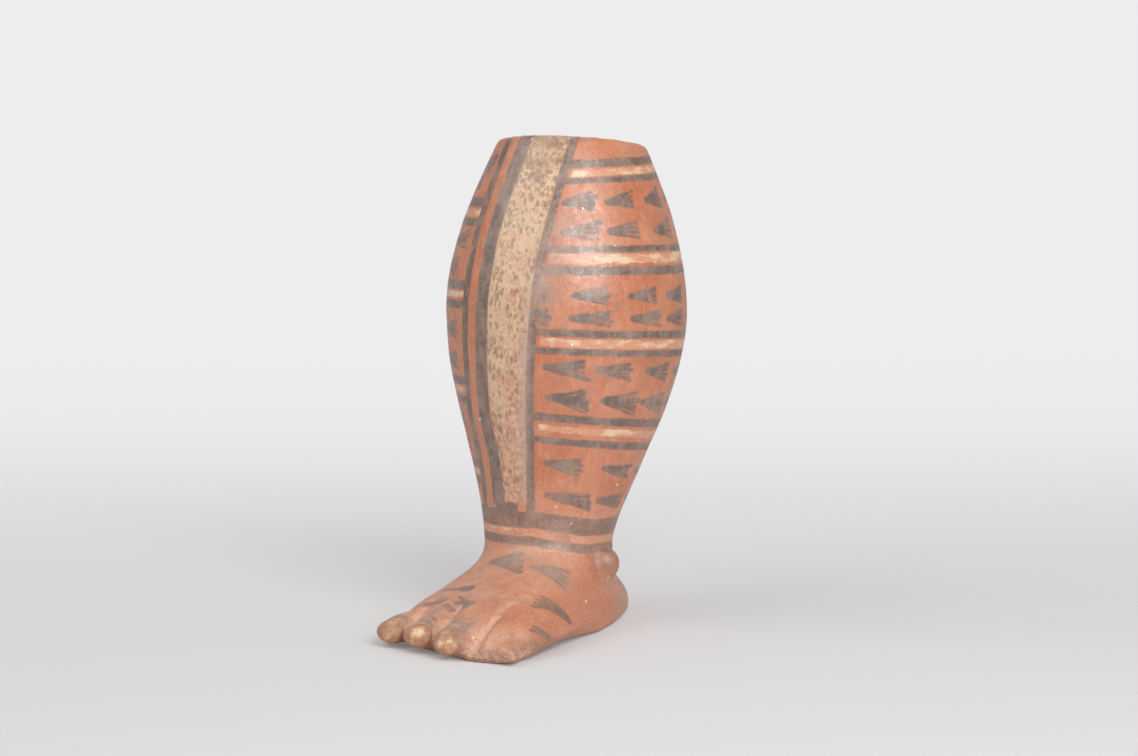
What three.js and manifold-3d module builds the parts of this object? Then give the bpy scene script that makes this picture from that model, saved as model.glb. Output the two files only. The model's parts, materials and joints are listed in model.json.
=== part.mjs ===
// A pottery vessel in the shape of a leg and a right foot, hand-built from separate pieces of
// clay. A slab makes the sole. A hollow foot stands on it, two courses of wall make the leg, and
// a coil makes the rim. Toes, toenails and ankle knobs are worked by hand and luted on. Every
// seam between two pieces keeps the thickness of the slip that joins them.
//
// Millimetres, +Z up. The origin is on the standing surface below the middle of the ankle.
// The toes point along -Y, the heel along +Y, and the big toe is on the +X side.

import * as THREE from 'three';
import { mergeVertices } from 'three/addons/utils/BufferGeometryUtils.js';
import Module from 'manifold-3d';

const wasm = await Module();
wasm.setup();

// Clay and seams
const wall = 6.5;               // thickness of the leg's wall
const footWall = 7.5;           // thickness of the foot's wall
const lutingGap = 0.3;          // slip between two joined pieces
const scarf = 5;                // rise of a seam from its outer edge to its inner edge

// Leg
const ankleHeight = 44;
const ankleWidth = 65;
const ankleDepth = 68;
const calfHeight = 157;
const calfWidth = 124;
const calfDepth = 126;
const calfSet = 19.5;           // how far the calf's middle stands behind the ankle's
const calfFullness = 1.25;      // the lower, the sooner the calf swells above the ankle
const calfLean = 0.95;          // and the sooner it stands back
const mouthHeight = 243.5;      // to the top of the lip, at the middle of the mouth
const mouthWidth = 75.5;
const mouthDepth = 77.5;
const mouthSet = 26.5;          // how far the mouth's middle stands behind the ankle's
const mouthTilt = 6;            // degrees that the mouth drops towards the back
const rimHeight = 14;
const lipRounding = 2;          // round along the two edges of the lip

// Foot
const soleThickness = 6;
const soleRounding = 3;         // round along the sole's lower edge
const heelReach = 54;           // from below the ankle's middle back to the heel's end
const heelWidth = 65;
const waistReach = 10;          // forward to the waist of the sole
const waistWidth = 80;
const frontWidth = 83;          // across the sole behind the toes
const bigToeReach = 112;        // forward to the sole's edge on the big toe's side
const littleToeReach = 90;      // and on the little toe's side
const bigToeCorner = 12;        // round at the sole's front corner on the big toe's side
const littleToeCorner = 9;      // and on the little toe's side
const toeBlock = 24;            // solid clay behind the toes
const instepTurn = 0.44;        // where the instep's ridge leaves the ankle, as a share of a turn
const instepHollow = 2.2;       // how quickly the foot draws in above the sole: along the ridge,
const sideHollow = 4.4;         // at its sides
const heelHollow = 5;           // and at the heel

// Ankle knobs
const innerKnobHeight = 32;
const innerKnobTurn = 0.25;     // round the ankle from the heel, as a share of a turn
const outerKnobHeight = 28;     // the outer ankle bone is lower and further back
const outerKnobTurn = 0.81;
const knobWidth = 15;
const knobRise = 6.5;           // how far a knob stands out of the foot

// Toes, in order from the outer side of the foot. The last two are worn down to stumps. Root and
// tip are the heights of a toe's middle at its two ends, and splay is in degrees.
const toes = [
  { name: 'little_toe', width: 18.5, thickness: 11.5, reach: 11, round: 7, root: 8.5, tip: 6.3, splay: 4 },
  { name: 'fourth_toe', width: 20.5, thickness: 12, reach: 12, round: 7, root: 9.5, tip: 7, splay: 2.5 },
  { name: 'third_toe', width: 18.5, thickness: 12.5, reach: 13.5, round: 7.5, root: 9.5, tip: 6.8, splay: 1.5 },
  { name: 'second_toe', width: 15, thickness: 9.5, reach: 8, round: 4.5, root: 8.5, tip: 5, splay: 4 },
  { name: 'big_toe', width: 13.5, thickness: 9.5, reach: 3, round: 4.5, root: 8.5, tip: 5, splay: 10 },
];
const toeRoot = 14;             // length of a toe behind the sole's front edge
const nailed = ['little_toe', 'fourth_toe', 'third_toe'];
const nailThickness = 0.9;
const nailWidth = 9;
const nailLength = 9;
const nailPitch = 26;           // degrees that a nail faces up from straight ahead
const nailTurn = 20;            // and towards the big toe's side

// Facets
const around = 56;              // points round the leg and the foot
const outerRows = 9;            // rows of facets up the outside of the foot or of a course
const innerRows = 6;            // and down the inside
const aroundToe = 16;
const aroundKnob = 20;
const aroundNail = 16;
const roundSteps = 3;           // steps of a small round
const tipSteps = 5;             // steps of the round at a toe's end
const weld = 1e-4;              // points nearer than this are one

const redSlip = new THREE.MeshStandardMaterial({ color: 0xb4553a, roughness: 0.55, metalness: 0 });
const wornClay = new THREE.MeshStandardMaterial({ color: 0xc07a5a, roughness: 0.8, metalness: 0 });
const creamSlip = new THREE.MeshStandardMaterial({ color: 0xd9bf97, roughness: 0.7, metalness: 0 });

// Curves and surfaces

const { lerp, degToRad, clamp } = THREE.MathUtils;

// Count + 1 values in even steps from first to last.
const steps = (first, last, count) =>
  Array.from({ length: count + 1 }, (_, i) => lerp(first, last, i / count));

// The leg's middle and half-sizes at a height: it swells from the ankle to the calf and draws
// in again to the mouth.
function legSection(height) {
  const climb = clamp((height - ankleHeight) / (calfHeight - ankleHeight), 0, 1);
  const swell = Math.sin((Math.PI / 2) * climb ** calfFullness);
  const lean = Math.sin((Math.PI / 2) * climb ** calfLean);
  const beyond = Math.max(0, (height - calfHeight) / (mouthHeight - calfHeight));
  const fall = 1 - Math.cos((Math.PI / 2) * beyond);
  const between = (ankle, calf, mouth) => lerp(lerp(ankle, calf, swell), mouth, fall);
  return {
    y: lerp(calfSet * lean, mouthSet, fall),
    halfWidth: between(ankleWidth, calfWidth, mouthWidth) / 2,
    halfDepth: between(ankleDepth, calfDepth, mouthDepth) / 2,
  };
}

// A point of the leg's surface, drawn in by an inset. Turn 0 faces the heel and a quarter turn
// faces +X. The rings above the calf tilt more and more, until the last is the mouth's.
function legPoint(height, turn, inset) {
  const section = legSection(height);
  const angle = 2 * Math.PI * turn;
  const reach = Math.cos(angle) * (section.halfDepth - inset);
  const tiltShare = clamp((height - calfHeight) / (mouthHeight - calfHeight), 0, 1) ** 2;
  const drop = tiltShare * Math.tan(degToRad(mouthTilt)) * reach;
  return new THREE.Vector3(
    Math.sin(angle) * (section.halfWidth - inset),
    section.y + reach,
    height - drop,
  );
}

// The sole's outline as a closed curve from the heel round by the big toe's side, drawn in by an
// inset all round and by another at the front.
function soleOutline(inset, frontInset) {
  const heelRadius = heelWidth / 2 - inset;
  const heelMiddle = heelReach - heelWidth / 2;
  const halfFront = frontWidth / 2 - inset;
  const side = (sign, reach, corner) => [
    [sign * heelRadius * Math.SQRT1_2, heelMiddle + heelRadius * Math.SQRT1_2],
    [sign * heelRadius, heelMiddle],
    [sign * (waistWidth / 2 - inset), -waistReach],
    [sign * halfFront, frontInset + corner - reach],
    [sign * (halfFront - corner), frontInset - reach],
  ];
  const plan = [
    [0, heelMiddle + heelRadius],
    ...side(1, bigToeReach, bigToeCorner),
    ...side(-1, littleToeReach, littleToeCorner).reverse(),
  ];
  const points = plan.map(([x, y]) => new THREE.Vector3(x, y, 0));
  return new THREE.CatmullRomCurve3(points, true, 'centripetal');
}

// A point of the foot's surface between the sole (share 0) and the ankle (share 1). It draws in
// slowly along the instep and quickly above the heel.
function footPoint(share, turn, outline, inset) {
  const base = outline.getPointAt(turn);
  const top = legPoint(ankleHeight, turn, inset);
  const aside = Math.sin(2 * Math.PI * (turn - instepTurn)) ** 2;
  const heelward = Math.max(0, Math.cos(2 * Math.PI * turn));
  const hollow = lerp(lerp(instepHollow, sideHollow, aside), heelHollow, heelward);
  const spread = (1 - share ** 2) ** hollow;
  return new THREE.Vector3(
    lerp(top.x, base.x, spread),
    lerp(top.y, base.y, spread),
    lerp(soleThickness + lutingGap, ankleHeight, share),
  );
}

// Meshes from rings of points

const ring = (point) => Array.from({ length: around }, (_, i) => point(i / around));

function geometryFrom(points, triangles) {
  const geometry = new THREE.BufferGeometry().setFromPoints(points);
  geometry.setIndex(triangles);
  return geometry;
}

// Two triangles for each gap between neighbouring points of two rings.
function bandTriangles(lower, upper, count) {
  return Array.from({ length: count }, (_, i) => {
    const next = (i + 1) % count;
    return [lower + i, upper + i, upper + next, lower + i, upper + next, lower + next];
  }).flat();
}

// A wall that closes on itself: up the outer rings and down the inner ones.
function shell(rings) {
  const count = rings[0].length;
  const triangles = rings.flatMap((_, k) =>
    bandTriangles(k * count, ((k + 1) % rings.length) * count, count));
  return geometryFrom(rings.flat(), triangles);
}

// A solid through rings from the bottom to the top, closed by a flat fan at each end.
function solid(rings) {
  const count = rings[0].length;
  const middle = (points) => points.reduce((sum, p) => sum.add(p), new THREE.Vector3())
    .divideScalar(points.length);
  const points = [...rings.flat(), middle(rings[0]), middle(rings.at(-1))];
  const bottom = points.length - 2;
  const top = points.length - 1;
  const last = (rings.length - 1) * count;
  const triangles = rings.slice(1).flatMap((_, k) =>
    bandTriangles(k * count, (k + 1) * count, count));
  for (let i = 0; i < count; i += 1) {
    const next = (i + 1) % count;
    triangles.push(bottom, i, next, top, last + next, last + i);
  }
  return geometryFrom(points, triangles);
}

// Cuts and joins

function manifoldFrom(geometry) {
  const bare = geometry.clone();
  bare.deleteAttribute('normal');
  bare.deleteAttribute('uv');
  const welded = mergeVertices(bare, weld);
  return new wasm.Manifold(new wasm.Mesh({
    numProp: 3,
    vertProperties: new Float32Array(welded.getAttribute('position').array),
    triVerts: new Uint32Array(welded.index.array),
  }));
}

function geometryOf(manifold) {
  const mesh = manifold.getMesh();
  const geometry = new THREE.BufferGeometry();
  geometry.setAttribute('position', new THREE.BufferAttribute(mesh.vertProperties, 3));
  geometry.setIndex(new THREE.BufferAttribute(mesh.triVerts, 1));
  return geometry;
}

const cut = (geometry, ...cutters) => geometryOf(
  cutters.reduce((left, cutter) => left.subtract(manifoldFrom(cutter)), manifoldFrom(geometry)));

const common = (first, second) =>
  geometryOf(manifoldFrom(first).intersect(manifoldFrom(second)));

// Pieces

const vessel = new THREE.Group();
vessel.name = 'leg_vessel';

function addPiece(name, geometry, material, pose) {
  const mesh = new THREE.Mesh(geometry, material);
  mesh.name = name;
  if (pose) pose.decompose(mesh.position, mesh.quaternion, mesh.scale);
  vessel.add(mesh);
}

// The sole: a slab with a rounded lower edge and a flat underside.
function soleSlab() {
  const level = (inset, height) => {
    const outline = soleOutline(inset, inset);
    return ring((turn) => outline.getPointAt(turn).setZ(height));
  };
  const rounds = steps(0, Math.PI / 2, roundSteps).map((angle) =>
    level(soleRounding * (1 - Math.sin(angle)), soleRounding * (1 - Math.cos(angle))));
  return solid([...rounds, level(0, soleThickness)]);
}

// The foot's outer surface, or one that stands clear of it on every side.
function footRings(clearance) {
  const outline = soleOutline(-clearance, -clearance);
  return steps(0, 1, outerRows).map((share) => ring((turn) => {
    const point = footPoint(share, turn, outline, -clearance);
    return point.setZ(point.z + clearance);
  }));
}

// The foot: a hollow shell on the sole, with a collar that laps inside the leg.
function footShell() {
  const collar = ring((turn) => legPoint(ankleHeight + scarf, turn, wall));
  const innerOutline = soleOutline(footWall, toeBlock);
  const inside = steps(1, 0, innerRows).map((share) =>
    ring((turn) => footPoint(share, turn, innerOutline, wall)));
  return shell([...footRings(0), collar, ...inside]);
}

// A course of the leg's wall. Its seams rise towards the inside.
function legCourse(from, to) {
  const outside = steps(from + lutingGap, to, outerRows).map((height) =>
    ring((turn) => legPoint(height, turn, 0)));
  const inside = steps(to + scarf, from + scarf + lutingGap, innerRows).map((height) =>
    ring((turn) => legPoint(height, turn, wall)));
  return shell([...outside, ...inside]);
}

// The rim: the last coil, with a rounded lip.
function rimCoil() {
  const seam = mouthHeight - rimHeight + lutingGap;
  const rounds = steps(0, Math.PI / 2, roundSteps).map((angle) => ({
    inset: lipRounding * (1 - Math.cos(angle)),
    height: mouthHeight - lipRounding * (1 - Math.sin(angle)),
  }));
  const outside = rounds.map(({ inset, height }) => ring((turn) => legPoint(height, turn, inset)));
  const inside = rounds.map(({ inset, height }) =>
    ring((turn) => legPoint(height, turn, wall - inset)));
  return shell([
    ring((turn) => legPoint(seam, turn, 0)),
    ...outside,
    ...inside.reverse(),
    ring((turn) => legPoint(seam + scarf, turn, wall)),
  ]);
}

// The foot and its sole as one solid, with room for slip, to cut what is luted on it.
function footSeat() {
  const rings = footRings(lutingGap);
  const below = rings[0].map((point) => point.clone().setZ(-soleThickness));
  return solid([below, ...rings]);
}

const seat = footSeat();

// An ankle knob: a pellet pressed on the side of the foot.
function addAnkleKnob(name, turn, height) {
  const share = (height - soleThickness) / (ankleHeight - soleThickness);
  const place = footPoint(share, turn, soleOutline(0, 0), 0);
  const outward = new THREE.Vector3(Math.sin(2 * Math.PI * turn), Math.cos(2 * Math.PI * turn), 0);
  place.addScaledVector(outward, knobRise - knobWidth / 2);
  const pose = new THREE.Matrix4().setPosition(place);
  const pellet = new THREE.SphereGeometry(knobWidth / 2, aroundKnob, aroundKnob / 2);
  const localSeat = seat.clone().applyMatrix4(pose.clone().invert());
  addPiece(name, cut(pellet, localSeat), redSlip, pose);
}

// A toe in its own frame: its root is at the origin, it points along +Y and its top is +Z.
// Growth makes a form that stands clear of it on every side.
function toeForm({ width, thickness, reach, round }, growth) {
  const radius = width / 2 + growth;
  const length = toeRoot + reach;
  const tip = steps(0, Math.PI / 2, tipSteps).map((angle) => new THREE.Vector2(
    radius * Math.cos(angle), length - round + (round + growth) * Math.sin(angle)));
  const profile = [
    new THREE.Vector2(0, -growth),
    new THREE.Vector2(radius, -growth),
    ...tip,
  ];
  return new THREE.LatheGeometry(profile, aroundToe).scale(1, 1, thickness / width);
}

// The toes stand side by side along the sole's front edge and spread a little.
function toePoses() {
  const total = toes.reduce((sum, toe) => sum + toe.width, 0);
  let place = 0;
  return toes.map((toe) => {
    const share = (place + toe.width / 2) / total;
    place += toe.width;
    const fan = degToRad(toe.splay);
    const forward = new THREE.Vector3(-Math.sin(fan), -Math.cos(fan), 0)
      .multiplyScalar(toeRoot + toe.reach).setZ(toe.tip - toe.root).normalize();
    const side = new THREE.Vector3().crossVectors(forward, new THREE.Vector3(0, 0, 1)).normalize();
    const up = new THREE.Vector3().crossVectors(side, forward);
    const frontEdge = lerp(-littleToeReach, -bigToeReach, share);
    return new THREE.Matrix4().makeBasis(side, forward, up)
      .setPosition(frontWidth * (share - 0.5), frontEdge + toeRoot, toe.root);
  });
}

// A toenail: a thin pellet pressed over the end of its toe.
function nailForm(toe) {
  const pitch = degToRad(nailPitch);
  const turn = degToRad(nailTurn);
  const patch = new THREE.SphereGeometry(0.5, aroundNail, aroundNail / 2);
  patch.scale(nailWidth, toe.round, nailLength);
  patch.rotateX(pitch).rotateZ(turn);
  patch.translate(
    (-toe.width / 2) * Math.cos(pitch) * Math.sin(turn),
    toeRoot + toe.reach - toe.round * (1 - Math.cos(pitch) * Math.cos(turn)),
    (toe.thickness / 2) * Math.sin(pitch),
  );
  const skin = common(toeForm(toe, lutingGap + nailThickness), patch);
  return cut(skin, toeForm(toe, lutingGap));
}

function addToes() {
  const poses = toePoses();
  toes.forEach((toe, i) => {
    const local = poses[i].clone().invert();
    const cutters = [seat.clone().applyMatrix4(local)];
    if (i > 0) {
      const neighbour = toeForm(toes[i - 1], lutingGap);
      cutters.push(neighbour.applyMatrix4(poses[i - 1]).applyMatrix4(local));
    }
    const hasNail = nailed.includes(toe.name);
    const finish = hasNail ? redSlip : wornClay;
    addPiece(toe.name, cut(toeForm(toe, 0), ...cutters), finish, poses[i]);
    if (hasNail) addPiece(`${toe.name}nail`, nailForm(toe), creamSlip, poses[i]);
  });
}

addPiece('sole_slab', soleSlab(), wornClay);
addPiece('foot_shell', footShell(), redSlip);
addPiece('lower_leg_wall', legCourse(ankleHeight, calfHeight), redSlip);
addPiece('upper_leg_wall', legCourse(calfHeight, mouthHeight - rimHeight), redSlip);
addPiece('rim_coil', rimCoil(), redSlip);
addAnkleKnob('inner_ankle_knob', innerKnobTurn, innerKnobHeight);
addAnkleKnob('outer_ankle_knob', outerKnobTurn, outerKnobHeight);
addToes();

export default vessel;
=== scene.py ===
"""A hand-built pottery leg on a right foot, with worn painted bands, finished on its fixed frame."""

import json
import math
from contextlib import contextmanager

import bpy
import numpy as np
from bpy.props import FloatProperty, FloatVectorProperty, IntProperty, PointerProperty
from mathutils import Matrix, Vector

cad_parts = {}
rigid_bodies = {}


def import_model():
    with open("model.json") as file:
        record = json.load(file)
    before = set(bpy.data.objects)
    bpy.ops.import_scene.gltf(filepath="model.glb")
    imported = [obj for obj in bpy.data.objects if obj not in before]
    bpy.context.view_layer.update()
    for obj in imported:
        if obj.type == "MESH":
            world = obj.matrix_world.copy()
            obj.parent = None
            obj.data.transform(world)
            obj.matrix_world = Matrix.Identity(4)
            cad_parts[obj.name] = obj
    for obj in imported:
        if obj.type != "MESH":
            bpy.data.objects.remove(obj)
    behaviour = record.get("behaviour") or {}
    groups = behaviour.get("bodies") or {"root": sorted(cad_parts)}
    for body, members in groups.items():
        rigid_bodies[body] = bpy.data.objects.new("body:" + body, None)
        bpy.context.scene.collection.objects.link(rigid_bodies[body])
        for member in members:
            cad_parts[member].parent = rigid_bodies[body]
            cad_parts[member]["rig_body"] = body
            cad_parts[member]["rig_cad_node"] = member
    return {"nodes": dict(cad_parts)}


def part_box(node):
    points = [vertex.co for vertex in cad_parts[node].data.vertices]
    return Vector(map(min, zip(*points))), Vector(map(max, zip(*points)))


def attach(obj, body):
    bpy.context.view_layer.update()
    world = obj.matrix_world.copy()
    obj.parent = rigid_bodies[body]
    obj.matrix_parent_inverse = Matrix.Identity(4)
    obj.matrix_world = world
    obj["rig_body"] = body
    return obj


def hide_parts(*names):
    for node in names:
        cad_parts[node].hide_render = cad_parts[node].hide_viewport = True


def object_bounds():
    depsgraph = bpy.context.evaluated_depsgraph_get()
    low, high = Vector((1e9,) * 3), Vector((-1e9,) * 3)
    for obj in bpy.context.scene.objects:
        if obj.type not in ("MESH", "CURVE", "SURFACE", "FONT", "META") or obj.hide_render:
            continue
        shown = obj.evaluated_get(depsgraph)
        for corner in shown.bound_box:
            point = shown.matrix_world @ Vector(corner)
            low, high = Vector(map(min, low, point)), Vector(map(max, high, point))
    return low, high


bl_info = {
    "name": "Painted leg vessel",
    "version": (1, 0, 0),
    "blender": (4, 5, 0),
    "location": "3D View > Sidebar > Vessel",
    "description": "Melts the seams of a hand-built pottery leg, works its toes and paints its bands",
    "category": "Mesh",
}

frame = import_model()
cad_low, cad_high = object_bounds()

MM = 0.001
BODY = "root"
BLANK = "clay_blank"

# Corners of a node's loose triangles are one point where they lie nearer than this.
MERGE = 0.02 * MM
# How far one stroke of the wet hand draws a point to the middle of those round it.
HAND_FORCE = 0.5
# A vertex weight that is too small to count, and a length that keeps a division from failing.
LEAST_WEIGHT = 0.01
LEAST_LENGTH = 1e-6
# Edges that turn more than this stay sharp.
EDGE_ANGLE = math.radians(50)
# Depth of the finest relief, which only the light shows.
BUMP_DEPTH = 0.5 * MM
# How much of the paper's tone its fibres keep.
FIBRE_SHADE = 0.985

# Clay nodes of the frame
WALLS = ("foot_shell", "lower_leg_wall", "upper_leg_wall", "rim_coil")
KNOBS = ("inner_ankle_knob", "outer_ankle_knob")
TOES = ("little_toe", "fourth_toe", "third_toe", "second_toe", "big_toe")
NAILED = TOES[:3]

# From here on, lengths are in millimetres. Turns are in degrees round the leg from the middle of
# the shin, and are positive towards the big toe's side.

# Paint on the leg

# The speckled strip down the shin: height, offset of its middle, width.
SHIN_STRIP = (
    (62, -1, 12.5), (85, -1.5, 15.5), (108, -3, 21),
    (157, 0, 24), (200, 3, 24), (246, 8, 19.5),
)
# Where the strip ends. Below it the paint is dark, but for a red line on the big toe's side.
STRIP_FOOT = 64.5
STRIP_FOOT_GAP = 4.5
# How often the strip is dabbed with brown in a metre, and how much of the brown shows.
STRIP_DABS = ((400, 0.68), (760, 0.55))
# Bands on the big toe's side: height of the middle, width.
RIGHT_DARK = (
    (232.5, 4), (224.4, 3), (191.5, 3.2), (181.3, 4.2),
    (151, 3.6), (142, 3.2), (108.8, 4), (97.3, 3.6),
)
RIGHT_CREAM = ((227.8, 3.2), (187, 4.4), (146.2, 4.2), (103.4, 3.4))
# Bands on the little toe's side.
LEFT_DARK = (
    (213.5, 4.5), (203.6, 4), (173, 4.5), (163.4, 4),
    (125.5, 4.5), (116, 4), (84, 4), (75, 4),
)
LEFT_CREAM = ((208.5, 3.6), (168.2, 3.4), (120.8, 3), (79.5, 3))
# Bands round the ankle. Their cream paint fades in slowly from the strip to the little toe's side.
ANKLE_DARK = ((56.2, 8.4), (45.6, 4.4))
ANKLE_CREAM = ((49.9, 3.2),)
CREAM_FADE = 0.05
# Rows of brushed fans on the big toe's side: height, turns of the first points, turn from one to
# the next after those, length, spread.
RIGHT_FANS = (
    (213.8, (25, 49.5, 78), 27, 15.5, 9.5),
    (199.6, (25.5, 50, 82), 27, 17.5, 10),
    (169.4, (3, 31, 59, 83.5), 27, 18.5, 9),
    (158.6, (3, 30, 60, 84), 27, 19, 8.4),
    (133.8, (18.5, 43.5, 72), 27, 20.5, 10.2),
    (118.9, (20, 48, 73), 27, 20.5, 11.4),
    (85.8, (21, 60), 38, 19.5, 8.6),
    (69.6, (22.5, 62), 42, 19.5, 9.4),
)
LEFT_FANS = (
    (231, (-58,), -27, 15, 9), (222, (-60,), -27, 15, 8),
    (194.5, (-54,), -27, 18, 9.5), (181.5, (-56,), -27, 18, 9),
    (151, (-54,), -27, 20, 9.5), (135.5, (-58,), -27, 20, 10),
    (106, (-60,), -30, 18, 9), (94, (-62,), -32, 17, 8),
)
# A row of fans ends before this turn, at the calf's back.
FAN_END = 172
# How the fans of the leg vary, least and most: length, spread, length of a stroke, number of strokes,
# and how much of the wide end the strokes fill. On the foot they always fill the same share.
FAN_SEED = 7
FAN_LENGTHS = (0.9, 1.1)
FAN_SPREADS = (0.88, 1.12)
FINGER_LENGTHS = (0.86, 1.04)
FINGER_COUNTS = (3, 4)
FINGER_SHARES = (0.82, 1)
FOOT_FINGER_SHARE = 0.74
# How steeply a fan rises along its length, at some heights.
FAN_TILT = ((70, -0.05), (125, -0.04), (165, 0), (214, 0.08))
# How far round a fan its bristles count, how far round it its depth is reckoned, and the share of its
# length below which its width no longer narrows.
FAN_EDGE = 1.5
FAN_MARGIN = 5
FAN_NARROWEST = 0.15
# How a painted line drifts: its rise for each degree that it goes round, at some heights. It starts
# at a turn, goes on for some degrees, and is less on the little toe's side.
DRIFT = ((45, -0.110), (105, -0.085), (230, 0.030))
DRIFT_FROM = 15
DRIFT_END = 100
LEFT_DRIFT = 0.4
# How far the ankle's lines rise besides, at some turns: on the little toe's side and over the knob.
# It fades out with height, up to the top.
ANKLE_LIFT = ((-180, 2.4), (-62, 2.8), (15, 0), (60, 0), (108, 3.8), (180, 2.4))
ANKLE_TOP = 80
ANKLE_FADE = 20
# The leg's middle is found at steps up the leg, from the clay that lies this near in height.
AXIS_STEP = 10
AXIS_REACH = 7
# A depth far outside any paint, and how far in from its edge paint is whole.
FAR = -50.0
PAINT_EDGE = 0.6

# Marks that are given as points near the surface

# How far off the surface the line of a stroke may lie, how wide its soft edge is for its half width,
# and how thin a dark stroke starts for its end.
STROKE_LIFT = 5
SOFT_EDGE = 1.8
STROKE_TAPER = 0.7
# A fan has its point, the corners of its wide end and its number of strokes.
FOOT_FANS = (
    ((-12.7, -37.3, 34), (3.6, -35.6, 40.1), (11.9, -52.5, 31.8), 4),
    ((14.6, -44.3, 34.8), (28.2, -31.9, 32.5), (33.7, -47.5, 25.4), 4),
    ((42.7, -57, 11.6), (31.3, -62.5, 25.2), (32.4, -77.5, 22), 4),
    ((44.1, -81, 9.1), (39.8, -86.1, 15.9), (40.4, -92, 14.1), 2),
)
# A stroke has its two ends and its half width.
FOOT_STROKES = (
    ((-28.5, -57, 21.4), (-14, -61, 23.6), 1.8),
    ((-17, -60, 23.4), (-11, -61.5, 24.4), 3.4),
    ((-29, -73.5, 17), (-20.5, -71.5, 18.8), 3.2),
    ((-11, -71, 21), (-1, -79, 20.6), 1.8),
    ((-8, -77.5, 20), (1.5, -82.5, 20.4), 3.2),
    ((-13.5, -80.5, 18.2), (-8, -84, 18.2), 2.2),
    ((-41, -95, 11.6), (-28.5, -90, 13), 1.7),
    ((-24, -90, 13.6), (-11.5, -95, 14.4), 1.5),
    ((-23, -94.2, 13.2), (-9.5, -100.5, 13.8), 1.9),
    ((-1.5, -100.5, 15), (11.8, -102, 14.6), 2),
    ((-0.5, -105.4, 14.4), (11.5, -106.6, 13), 1.9),
)
# Where the slip has worn away: two ends and a half width.
WORN_STROKES = (
    ((21, -90, 19), (20.8, -100, 15), 2),
    ((20.8, -100, 15), (19.8, -115, 4), 2.4),
    ((16, -115, 3), (42, -112, 3), 2.2),
    ((42, -112, 3), (43, -98, 4), 2.2),
    ((-4.2, -110, 7), (-5, -80, 16.5), 2.3),
    ((-25.8, -102, 6), (-28, -76, 15.5), 2.1),
    ((36, -4, 25.5), (38, 3, 25.5), 1.8),
)
# Brownish stains, and greyish films that are partly a painted sheen where the light catches the slip:
# two ends and a half width.
STAIN_STROKES = (
    ((35, -9, 32), (39.5, 1, 31), 6.5),
    ((-37, -101, 8), (-29, -103, 8), 7),
    ((-20, -107, 9), (-8, -109, 9), 6),
    ((0, -113, 8), (11, -114, 9), 7),
    ((37, -112, 4), (44.3, -78, 6), 5),
    ((17, -115, 3), (40, -109, 3), 6.5),
    ((-38, 4, 238), (-50, 4, 196), 12),
    ((-60, 12, 180), (-58, 8, 130), 8),
)
FILM_AND_SHEEN_STROKES = (
    ((34, 28, 10), (22, 46, 16), 15),
    ((-34, -91, 12), (8, -104, 14), 8),
    ((2, -41, 38), (27, -41, 31), 7),
)
# Where the slip lies thick, and where the big toe's side of the foot, the heel and the knob are
# darkened as painted shade: two ends and a half width.
DEEP_AND_SHADED_STROKES = (
    ((42, -50, 9), (38, -4, 13), 15),
    ((38, -4, 13), (28, 31, 12), 15),
    ((36, -10, 31), (38, -2, 33), 9),
    ((41, -84, 12), (40, -56, 19), 8),
    ((38, -34, 22), (35, -12, 27), 10),
    ((26, -96, 17), (34, -80, 19), 7),
)
# Where it has rubbed thin, and where the big toe's front is lightened as a painted highlight: two ends
# and a half width.
RUBBED_AND_HIGHLIT_STROKES = (
    ((28, -106, 13), (36, -105, 11), 6.5),
    ((20, -84, 21), (25, -72, 25), 2),
)

# Marks that are given by what lies near

# The greyish haze on the shin, partly a dull bloom and partly a painted sheen where the light catches
# the slip: how far its middle lies from the strip's edge on the big toe's side, how far it reaches to
# each side, and the heights where it starts and ends. It fades over some height.
SHIN_FILMS_AND_SHEENS = ((-1.5, 5, 60, 190), (5, 14, 150, 215))
FILM_AND_SHEEN_FADE = 15
# How far below the lip it is rubbed bare, and how bare it is.
LIP_RUBBED = 1.2
LIP_BARE = 0.55
# The underside lies below a height and faces down by at least this share.
UNDER_TOP = 2
UNDER_FACING = -0.7
# The inside lies above a height. Clay counts as inside from a share by which it faces the leg's
# middle, and wholly from another.
INSIDE_FLOOR = 5
INSIDE_FACING = (0.15, 0.65)

# Forms worked into the clay

# The toes lie in front of one line and below a height, and the broken ones on the big toe's side of
# another line. The work on them fades in over some length past each line.
TOE_LINE = -70
TOE_FADE = 12
TOE_TOP = 30
STUMP_LINE = 16
STUMP_FADE = 6
# Ridges raised along the toes, and grooves pressed between them, each fading out up the foot: two
# ends, half width, height. A groove has a height below zero.
TOE_WORK = (
    ((-33, -90, 13), (-30, -64, 20), 7.5, 1.5),
    ((-14, -95, 14), (-14, -66, 22), 8.4, 2.2),
    ((5, -101, 15), (4, -72, 22), 8.6, 2.6),
    ((14.6, -110, 9), (13.4, -78, 21.5), 6.4, 1.6),
    ((-25.5, -104, 6), (-27.5, -68, 19), 4.4, -2.2),
    ((-4.2, -112, 7), (-5, -72, 21), 4.6, -2.5),
    ((20.8, -117, 4), (21, -76, 23.5), 4.6, -4.8),
    ((31, -114, 5), (30, -104, 12), 2.6, -0.8),
)
# Round each ankle knob: how far outside it the ring of its foot lies, how far the crease reaches to
# each side of the ring, how far inside it the knob is swollen in full, how far to each side the clay
# is blended, and how far round the knob's lowest point clay is smeared.
KNOB_RING = 2.6
KNOB_CREASE = 3.4
KNOB_SLOPE = 6
KNOB_BLEND = 6
KNOB_SMEAR_REACH = 8
# The sole's front corner, drawn out to a rough point: its place, how far round it the clay gives,
# and how far it is drawn.
CORNER = ((38.5, -110.5, 2), 12, (5.8, -1.8, 0))
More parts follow.
